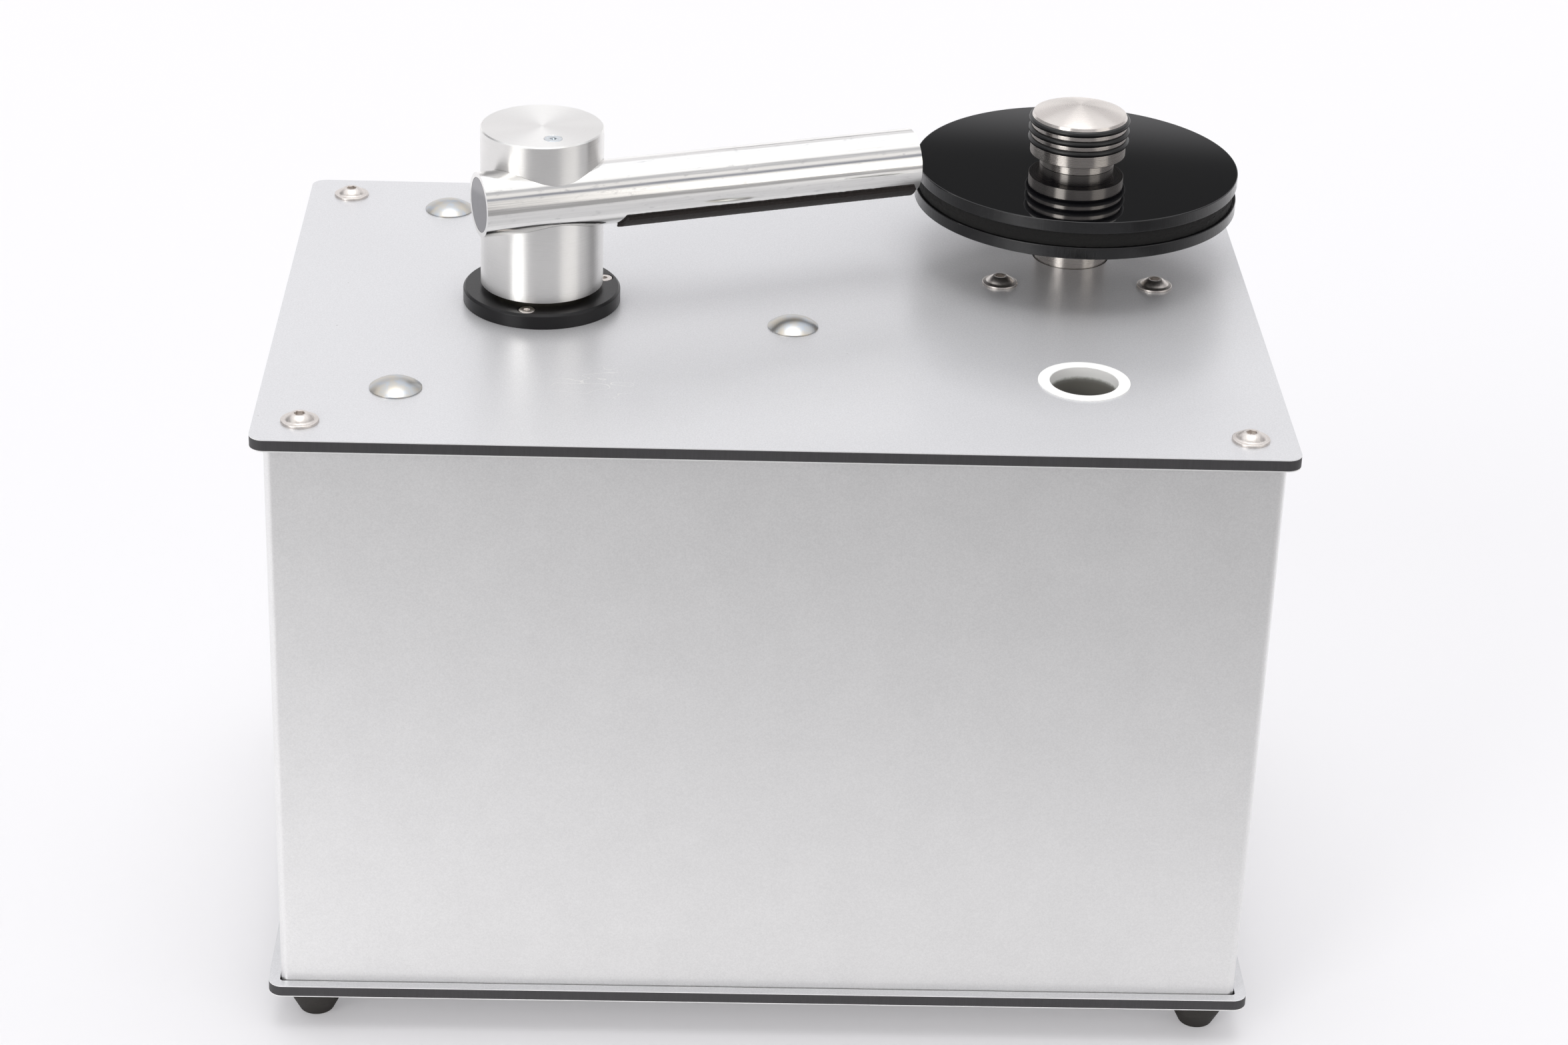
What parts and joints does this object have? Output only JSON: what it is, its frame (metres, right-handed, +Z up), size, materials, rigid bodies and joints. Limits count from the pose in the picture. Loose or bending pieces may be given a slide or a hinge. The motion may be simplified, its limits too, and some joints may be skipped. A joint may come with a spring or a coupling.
{
  "type": "record cleaning machine",
  "caption": "Metal cased record cleaning machine with a clamped turning platter, a swinging suction arm with felt strips, and an exhaust bush in its top plate.",
  "frame": {"origin": "centre of the box round the whole machine, on the floor under its feet", "axes": "+X to the right along the machine's width, +Y to the rear, +Z up; the suction arm is on the left and the platter at the right rear"},
  "size_m": [0.32, 0.2172, 0.2734],
  "materials": {
    "panel_skin": "fine speckled silver",
    "panel_core": "sawn dark grey",
    "wall_sheet": "smooth satin",
    "zinc_steel": "bright zinc plated",
    "plain_steel": "turned",
    "spring_steel": "dark spring steel",
    "foot_rubber": "moulded",
    "ring_rubber": "smooth black",
    "black_anodised": "black satin anodised",
    "turned_aluminium": "finely turned",
    "tube_aluminium": "drawn, semi-gloss",
    "bearing_bronze": "turned bronze",
    "slide_plastic": "self-lubricating",
    "plug_plastic": "glossy grey",
    "black_felt": "short dark felt",
    "mat_fibre": "dark fibre mat",
    "black_acrylic": "polished black",
    "polished_metal": "polished",
    "motor_grey": "grey enamel",
    "motor_zinc": "zinc plated drawn can",
    "tank_plastic": "milky moulded",
    "white_plastic": "white moulded",
    "pipe_plastic": "grey moulded",
    "housing_plastic": "dark moulded",
    "switch_plastic": "black moulded",
    "inlet_plastic": "black moulded",
    "pin_brass": "nickelled",
    "fuse_glass": "clear with metal caps",
    "wire_cover": "smooth"
  },
  "bodies": {
    "case": {"top_plate_core": "panel_core", "top_plate_skins": "panel_skin", "base_plate_core": "panel_core", "base_plate_skins": "panel_skin", "body_wrap": "wall_sheet", "rear_panel": "wall_sheet", "rear_screws": "zinc_steel", "corner_posts": "turned_aluminium", "plate_screws": "zinc_steel", "foot_screws": "zinc_steel", "rubber_feet": "foot_rubber", "arm_flange": "black_anodised", "flange_screws": "zinc_steel", "flange_bush": "bearing_bronze", "gearbox": "motor_grey", "platter_motor": "motor_zinc", "mushroom_bolts": "zinc_steel", "hanger_nuts": "zinc_steel", "tank_hanger": "plain_steel", "tank_lid": "tank_plastic", "tank_gasket": "ring_rubber", "waste_tank": "tank_plastic", "air_pipe": "pipe_plastic", "fan_housing": "housing_plastic", "blower_motor": "motor_zinc", "fan_posts": "turned_aluminium", "fan_grommets": "ring_rubber", "exhaust_bush": "white_plastic", "exhaust_duct": "pipe_plastic", "drain_pipe": "tank_plastic", "drain_outlet": "inlet_plastic", "switch_bodies": "switch_plastic", "mains_inlet": "inlet_plastic", "inlet_pins": "pin_brass", "wiring": "wire_cover"},
    "swivel": {"swivel_ring": "slide_plastic", "lift_spring": "spring_steel"},
    "arm": {"swivel_post": "plain_steel", "post_circlip": "spring_steel", "arm_column": "turned_aluminium", "column_screw": "zinc_steel", "suction_tube": "tube_aluminium", "tube_plugs": "plug_plastic", "felt_strips": "black_felt"},
    "platter": {"drive_hub": "plain_steel", "motor_shaft": "plain_steel", "record_pin": "plain_steel", "lower_disc": "black_acrylic", "lower_mat": "mat_fibre"},
    "clamp_disc": {"upper_mat": "mat_fibre", "upper_disc": "black_acrylic"},
    "knob": {"clamp_knob": "polished_metal", "knob_rings": "ring_rubber", "knob_circlip": "spring_steel"},
    "fan": {"fan_wheel": "motor_grey"},
    "motor_switch": {"motor_rocker": "switch_plastic"},
    "vacuum_switch": {"vacuum_rocker": "switch_plastic"},
    "drawer": {"fuse_drawer": "inlet_plastic", "fuse": "fuse_glass"},
    "bung": {"drain_bung": "foot_rubber"}
  },
  "joints": [
    {"name": "arm_swing", "type": "hinge", "parent": "case", "child": "swivel", "pos_m": [-0.0757, 0.0053, 0.2131], "axis": [0, 0, 1], "range_deg": [-100, 15]},
    {"name": "arm_lift", "type": "slide", "parent": "swivel", "child": "arm", "axis": [0, 0, -1], "range_m": [0, 0.0013], "stiffness_N_per_m": 800, "springref_m": -0.008, "deforming": ["lift_spring"]},
    {"name": "platter_spin", "type": "hinge", "parent": "case", "child": "platter", "pos_m": [0.1028, 0.0525, 0.2131], "axis": [0, 0, 1], "continuous": true},
    {"name": "clamp_rise", "type": "slide", "parent": "platter", "child": "clamp_disc", "axis": [0, 0, 1], "range_m": [0, 0.012]},
    {"name": "clamp_turn", "type": "hinge", "parent": "clamp_disc", "child": "knob", "pos_m": [0.1028, 0.0525, 0.2131], "axis": [0, 0, 1], "range_deg": [0, 4320]},
    {"name": "fan_spin", "type": "hinge", "parent": "case", "child": "fan", "pos_m": [0.048, -0.046, 0.1], "axis": [0, 0, 1], "continuous": true},
    {"name": "motor_switch_tilt", "type": "hinge", "parent": "case", "child": "motor_switch", "pos_m": [0.1548, -0.072, 0.1581], "axis": [0, -1, 0], "range_deg": [0, 16]},
    {"name": "vacuum_switch_tilt", "type": "hinge", "parent": "case", "child": "vacuum_switch", "pos_m": [0.1548, -0.042, 0.1581], "axis": [0, -1, 0], "range_deg": [0, 16]},
    {"name": "drawer_pull", "type": "slide", "parent": "case", "child": "drawer", "axis": [0, 1, 0], "range_m": [0, 0.018]},
    {"name": "bung_pull", "type": "slide", "parent": "case", "child": "bung", "axis": [0, 1, 0], "range_m": [0, 0.014]}
  ],
  "couplings": [
    {"joint": "clamp_turn", "follows": "clamp_rise", "rad_per_m": 6283.2}
  ]
}
